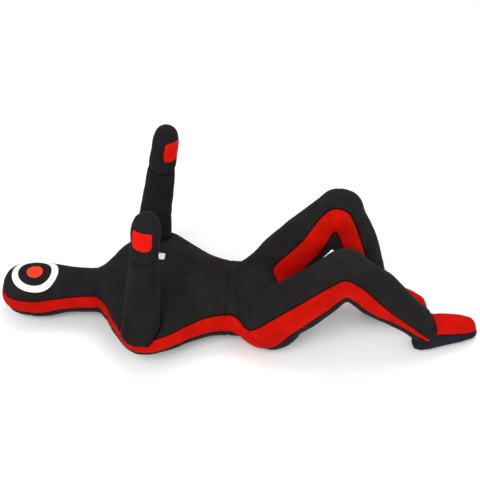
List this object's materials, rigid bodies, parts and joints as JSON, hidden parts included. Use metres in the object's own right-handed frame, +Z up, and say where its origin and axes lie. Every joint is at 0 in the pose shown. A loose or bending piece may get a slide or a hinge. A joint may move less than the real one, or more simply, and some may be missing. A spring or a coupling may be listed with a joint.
{
  "type": "grappling dummy",
  "caption": "Life-size stuffed fabric grappling dummy lying on its back, arms raised, knees bent, with red side gussets and a round face target.",
  "frame": {"origin": "bottom centre of the box round the dummy, on the floor it lies on", "axes": "+X from the crown towards the feet, +Y to the dummy's left, +Z up off the floor"},
  "size_m": [1.645, 0.5234, 0.6772],
  "materials": {
    "black_canvas": "matt black woven canvas",
    "red_canvas": "bright red woven canvas",
    "navy_canvas": "dark navy woven canvas on the soles",
    "red_patch": "red sewn patch",
    "white_patch": "off-white sewn patch",
    "label": "plain woven label, no mark",
    "zip_tape": "black woven zip tape",
    "zip_metal": "dark metal slider and pull",
    "filling": "textile offcut filling"
  },
  "bodies": {
    "chest": {"chest_back_left": "black_canvas", "chest_back_right": "black_canvas", "chest_fill": "filling", "chest_front_panel": "black_canvas", "chest_gusset_left": "red_canvas", "chest_gusset_right": "red_canvas", "chest_label": "label", "zip_tape": "zip_tape"},
    "head": {"head_back_panel": "black_canvas", "head_fill": "filling", "head_front_panel": "black_canvas", "head_gusset": "red_canvas", "target_dot": "red_patch", "target_ring": "white_patch"},
    "pelvis": {"pelvis_back_panel": "black_canvas", "pelvis_fill": "filling", "pelvis_front_panel": "black_canvas", "pelvis_gusset_left": "red_canvas", "pelvis_gusset_right": "red_canvas"},
    "zip_slider": {"zip_slider": "zip_metal"},
    "upper_arm_right": {"upper_arm_fill_right": "filling", "upper_arm_sleeve_right": "black_canvas"},
    "forearm_right": {"forearm_fill_right": "filling", "forearm_sleeve_right": "black_canvas", "hand_mitt_right": "black_canvas", "palm_patch_right": "red_patch"},
    "thigh_right": {"thigh_back_panel_right": "black_canvas", "thigh_fill_right": "filling", "thigh_front_panel_right": "black_canvas", "thigh_inner_strip_right": "red_canvas", "thigh_outer_strip_right": "red_canvas"},
    "shin_right": {"shin_back_panel_right": "black_canvas", "shin_fill_right": "filling", "shin_front_panel_right": "black_canvas", "shin_inner_strip_right": "red_canvas", "shin_outer_strip_right": "red_canvas"},
    "foot_right": {"foot_fill_right": "filling", "foot_instep_panel_right": "red_canvas", "foot_sole_panel_right": "navy_canvas"},
    "upper_arm_left": {"upper_arm_fill_left": "filling", "upper_arm_sleeve_left": "black_canvas"},
    "forearm_left": {"forearm_fill_left": "filling", "forearm_sleeve_left": "black_canvas", "hand_mitt_left": "black_canvas", "palm_patch_left": "red_patch"},
    "thigh_left": {"thigh_back_panel_left": "black_canvas", "thigh_fill_left": "filling", "thigh_front_panel_left": "black_canvas", "thigh_inner_strip_left": "red_canvas", "thigh_outer_strip_left": "red_canvas"},
    "shin_left": {"shin_back_panel_left": "black_canvas", "shin_fill_left": "filling", "shin_front_panel_left": "black_canvas", "shin_inner_strip_left": "red_canvas", "shin_outer_strip_left": "red_canvas"},
    "foot_left": {"foot_fill_left": "filling", "foot_instep_panel_left": "red_canvas", "foot_sole_panel_left": "navy_canvas"}
  },
  "joints": [
    {"name": "neck_nod", "type": "hinge", "parent": "chest", "child": "head", "pos_m": [-0.47046, 0, 0.104], "axis": [0, 1, 0], "range_deg": [-22, 35]},
    {"name": "waist_bend", "type": "hinge", "parent": "chest", "child": "pelvis", "pos_m": [-0.08046, 0, 0.098], "axis": [0, -1, 0], "range_deg": [-20, 40]},
    {"name": "shoulder_swing_right", "type": "hinge", "parent": "chest", "child": "upper_arm_right", "pos_m": [-0.30346, -0.195, 0.194], "axis": [0, -1, 0], "range_deg": [-52, 52]},
    {"name": "elbow_bend_right", "type": "hinge", "parent": "upper_arm_right", "child": "forearm_right", "pos_m": [-0.28056, -0.195, 0.40476], "axis": [0, -1, 0], "range_deg": [0, 75]},
    {"name": "hip_swing_right", "type": "hinge", "parent": "pelvis", "child": "thigh_right", "pos_m": [0.09554, -0.098, 0.097], "axis": [0, 1, 0], "range_deg": [-32, 43]},
    {"name": "knee_bend_right", "type": "hinge", "parent": "thigh_right", "child": "shin_right", "pos_m": [0.34754, -0.088, 0.343], "axis": [0.0077, -0.9994, 0.0327], "range_deg": [-34, 84]},
    {"name": "ankle_tilt_right", "type": "hinge", "parent": "shin_right", "child": "foot_right", "pos_m": [0.63354, -0.094, 0.092], "axis": [-0.2924, 0.9563, 0], "range_deg": [-18, 18]},
    {"name": "shoulder_swing_left", "type": "hinge", "parent": "chest", "child": "upper_arm_left", "pos_m": [-0.31046, 0.195, 0.204], "axis": [0, -1, 0], "range_deg": [-52, 52]},
    {"name": "elbow_bend_left", "type": "hinge", "parent": "upper_arm_left", "child": "forearm_left", "pos_m": [-0.27729, 0.195, 0.41339], "axis": [0, -1, 0], "range_deg": [0, 75]},
    {"name": "hip_swing_left", "type": "hinge", "parent": "pelvis", "child": "thigh_left", "pos_m": [0.09554, 0.098, 0.097], "axis": [0, 1, 0], "range_deg": [-25, 50]},
    {"name": "knee_bend_left", "type": "hinge", "parent": "thigh_left", "child": "shin_left", "pos_m": [0.32754, 0.125, 0.403], "axis": [-0.1238, -0.9758, 0.18], "range_deg": [-4, 117]},
    {"name": "ankle_tilt_left", "type": "hinge", "parent": "shin_left", "child": "foot_left", "pos_m": [0.46654, 0.05, 0.092], "axis": [0.0698, 0.9976, 0], "range_deg": [-18, 18]},
    {"name": "zip_slide", "type": "slide", "parent": "chest", "child": "zip_slider", "axis": [1, 0, 0], "range_m": [0, 0.19]}
  ]
}
